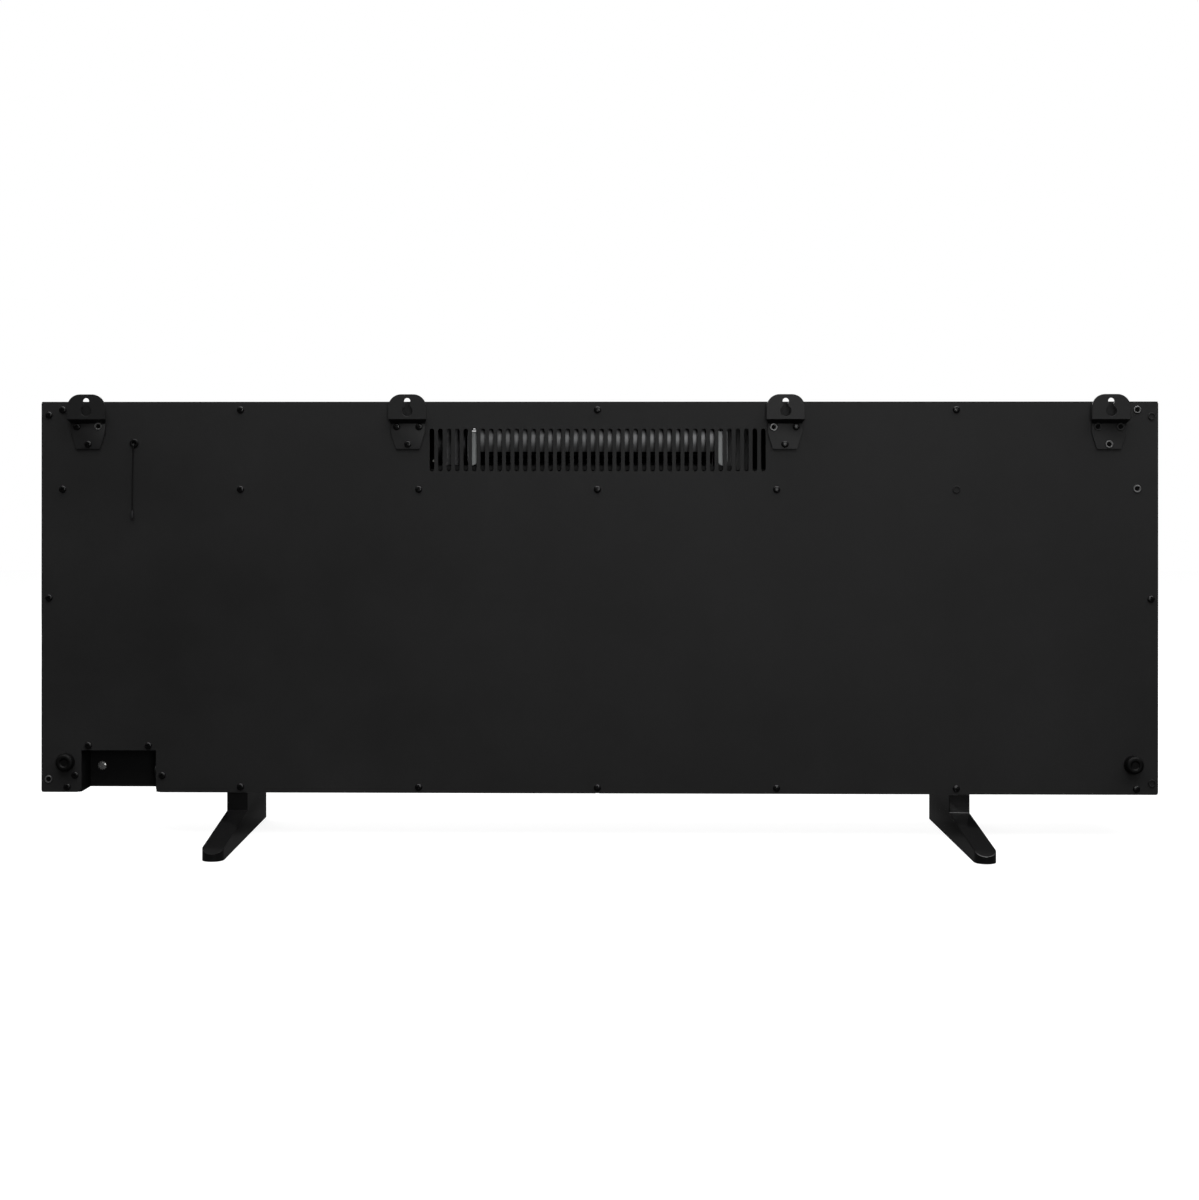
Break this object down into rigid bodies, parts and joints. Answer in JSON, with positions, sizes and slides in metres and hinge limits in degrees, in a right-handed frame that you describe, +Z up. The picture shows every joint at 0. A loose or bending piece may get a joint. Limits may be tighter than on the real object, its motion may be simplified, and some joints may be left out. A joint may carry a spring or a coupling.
{
  "type": "electric fireplace",
  "caption": "Slim wide electric fireplace on two rear-swept feet: vented back panel, keyhole wall hangers, cord recess, blower heater and lit flame chamber behind dark glass.",
  "frame": {"origin": "centre of the footprint, on the floor plane under the feet", "axes": "+X along the width (right-hand side seen from the glass front), +Y out of the back panel toward the wall, +Z up"},
  "size_m": [1.27, 0.275, 0.4948],
  "materials": {
    "back_panel": "fine-texture matte black powder coat on sheet steel",
    "bezel_frame": "satin black enamel",
    "blower_bearing": "rubber-held sleeve bearing",
    "blower_bracket_left": "bright galvanised pressing",
    "blower_bracket_right": "bright galvanised pressing",
    "blower_impeller": "thin dull aluminium blades between discs",
    "blower_motor": "laminated stack with dark enamel",
    "blower_scroll": "galvanised sheet rolled to a scroll",
    "blower_shelf": "galvanised sheet",
    "blower_tongue": "galvanised sheet",
    "bumper_left": "moulded black rubber",
    "bumper_right": "moulded black rubber",
    "button_1": "moulded dark grey plastic",
    "button_2": "moulded dark grey plastic",
    "button_3": "moulded dark grey plastic",
    "button_4": "moulded dark grey plastic",
    "casing": "fine-texture matte black powder coat on sheet steel",
    "control_bezel": "moulded black plastic",
    "control_board": "green solder-masked board with relays",
    "earth_screw": "bright zinc-plated screw",
    "ember_bed": "rough translucent moulded embers",
    "flame_rotor": "bright mirror-finished paddles on a steel spindle",
    "flame_screen": "frosted acrylic diffuser",
    "foot_left": "moulded black plastic with a satin sheen",
    "foot_left_screw_1": "black zinc-plated screw",
    "foot_left_screw_2": "black zinc-plated screw",
    "foot_right": "moulded black plastic with a satin sheen",
    "foot_right_screw_1": "black zinc-plated screw",
    "foot_right_screw_2": "black zinc-plated screw",
    "fuel_tray": "matte black enamel",
    "glass_front": "dark tinted toughened glass, polished edge",
    "hanger_1": "satin black coated steel pressing",
    "hanger_2": "satin black coated steel pressing",
    "hanger_3": "satin black coated steel pressing",
    "hanger_4": "satin black coated steel pressing",
    "heater_element": "corrugated aluminium fins on a ceramic heating strip",
    "led_strip_ember": "white solder-masked board",
    "led_strip_flame": "white solder-masked board",
    "log_left": "painted moulded bark",
    "log_middle": "painted moulded bark",
    "log_right": "painted moulded bark",
    "mains_gland": "moulded black nylon",
    "outlet_grille": "satin black enamel",
    "power_rocker": "polished black plastic",
    "recess_box": "matte black powder coat on folded sheet steel",
    "rotor_bearing": "moulded black nylon",
    "rotor_motor": "plated motor can",
    "sensor_bead": "black resin bead over the thermistor",
    "sensor_grommet": "moulded black plastic ring",
    "sensor_lead": "thin black insulated wire",
    "switch_board": "green solder-masked board",
    "thermal_cutout": "small metal-cased disc thermostat"
  },
  "bodies": {
    "housing": {"back_panel": "back_panel", "bezel_frame": "bezel_frame", "blower_bearing": "blower_bearing", "blower_bracket_left": "blower_bracket_left", "blower_bracket_right": "blower_bracket_right", "blower_motor": "blower_motor", "blower_scroll": "blower_scroll", "blower_shelf": "blower_shelf", "blower_tongue": "blower_tongue", "bumper_left": "bumper_left", "bumper_right": "bumper_right", "casing": "casing", "control_bezel": "control_bezel", "control_board": "control_board", "earth_screw": "earth_screw", "ember_bed": "ember_bed", "flame_screen": "flame_screen", "foot_left": "foot_left", "foot_left_screw_1": "foot_left_screw_1", "foot_left_screw_2": "foot_left_screw_2", "foot_right": "foot_right", "foot_right_screw_1": "foot_right_screw_1", "foot_right_screw_2": "foot_right_screw_2", "fuel_tray": "fuel_tray", "glass_front": "glass_front", "hanger_1": "hanger_1", "hanger_2": "hanger_2", "hanger_3": "hanger_3", "hanger_4": "hanger_4", "heater_element": "heater_element", "led_strip_ember": "led_strip_ember", "led_strip_flame": "led_strip_flame", "log_left": "log_left", "log_middle": "log_middle", "log_right": "log_right", "mains_gland": "mains_gland", "outlet_grille": "outlet_grille", "recess_box": "recess_box", "rotor_bearing": "rotor_bearing", "rotor_motor": "rotor_motor", "sensor_bead": "sensor_bead", "sensor_grommet": "sensor_grommet", "sensor_lead": "sensor_lead", "switch_board": "switch_board", "thermal_cutout": "thermal_cutout"},
    "blower_fan": {"blower_impeller": "blower_impeller"},
    "flame_spindle": {"flame_rotor": "flame_rotor"},
    "rocker": {"power_rocker": "power_rocker"},
    "key_1": {"button_1": "button_1"},
    "key_2": {"button_2": "button_2"},
    "key_3": {"button_3": "button_3"},
    "key_4": {"button_4": "button_4"}
  },
  "joints": [
    {"name": "blower_spin", "type": "hinge", "parent": "housing", "child": "blower_fan", "pos_m": [0, -0.052, 0.44], "axis": [1, 0, 0], "continuous": true},
    {"name": "flame_rotor_spin", "type": "hinge", "parent": "housing", "child": "flame_spindle", "pos_m": [0, -0.05, 0.108], "axis": [1, 0, 0], "continuous": true},
    {"name": "power_rocker_tilt", "type": "hinge", "parent": "housing", "child": "rocker", "pos_m": [0.6193, -0.102, 0.307], "axis": [0, 1, 0], "range_deg": [-8, 8]},
    {"name": "button_1_press", "type": "slide", "parent": "housing", "child": "key_1", "axis": [-1, 0, 0], "range_m": [0, 0.0015], "stiffness_N_per_m": 180},
    {"name": "button_2_press", "type": "slide", "parent": "housing", "child": "key_2", "axis": [-1, 0, 0], "range_m": [0, 0.0015], "stiffness_N_per_m": 180},
    {"name": "button_3_press", "type": "slide", "parent": "housing", "child": "key_3", "axis": [-1, 0, 0], "range_m": [0, 0.0015], "stiffness_N_per_m": 180},
    {"name": "button_4_press", "type": "slide", "parent": "housing", "child": "key_4", "axis": [-1, 0, 0], "range_m": [0, 0.0015], "stiffness_N_per_m": 180}
  ]
}
